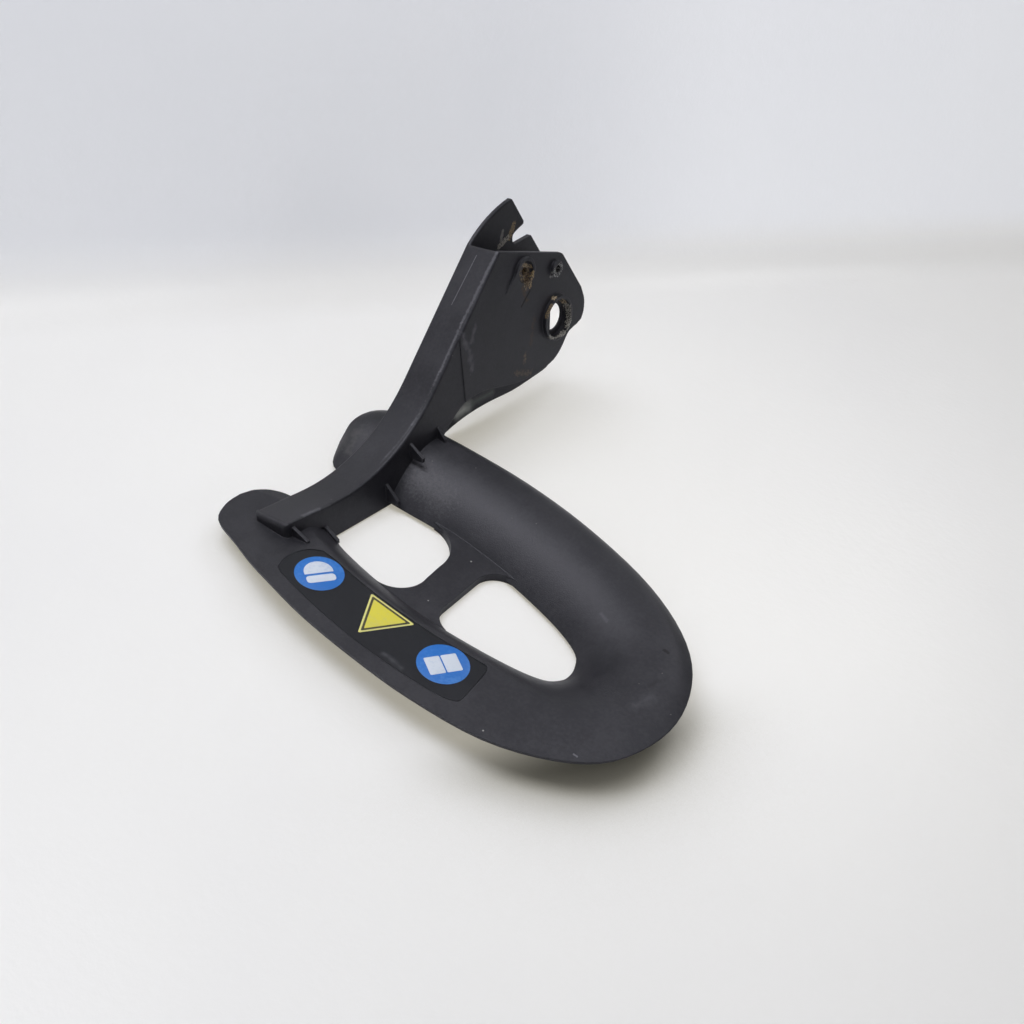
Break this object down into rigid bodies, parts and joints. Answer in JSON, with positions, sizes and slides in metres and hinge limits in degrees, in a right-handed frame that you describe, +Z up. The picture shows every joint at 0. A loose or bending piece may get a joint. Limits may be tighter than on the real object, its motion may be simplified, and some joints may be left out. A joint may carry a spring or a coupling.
{
  "type": "chainsaw front hand guard",
  "caption": "Black dished oval hand guard with two windows on a bent two-walled arm with pivot plates and a notched hook.",
  "frame": {"origin": "middle of the guard's footprint on the floor it lies on", "axes": "+X along the loop away from the arm, +Y from the loop to the arm's plates, +Z up from the floor; the pivot axis lies in the XZ plane, raised 14.1 degrees from +X"},
  "size_m": [0.1893, 0.212, 0.0914],
  "materials": {
    "guard_plastic": "satin",
    "film_print": "satin"
  },
  "bodies": {
    "root": {"hand_guard": "guard_plastic", "label_film": "film_print"}
  },
  "joints": []
}
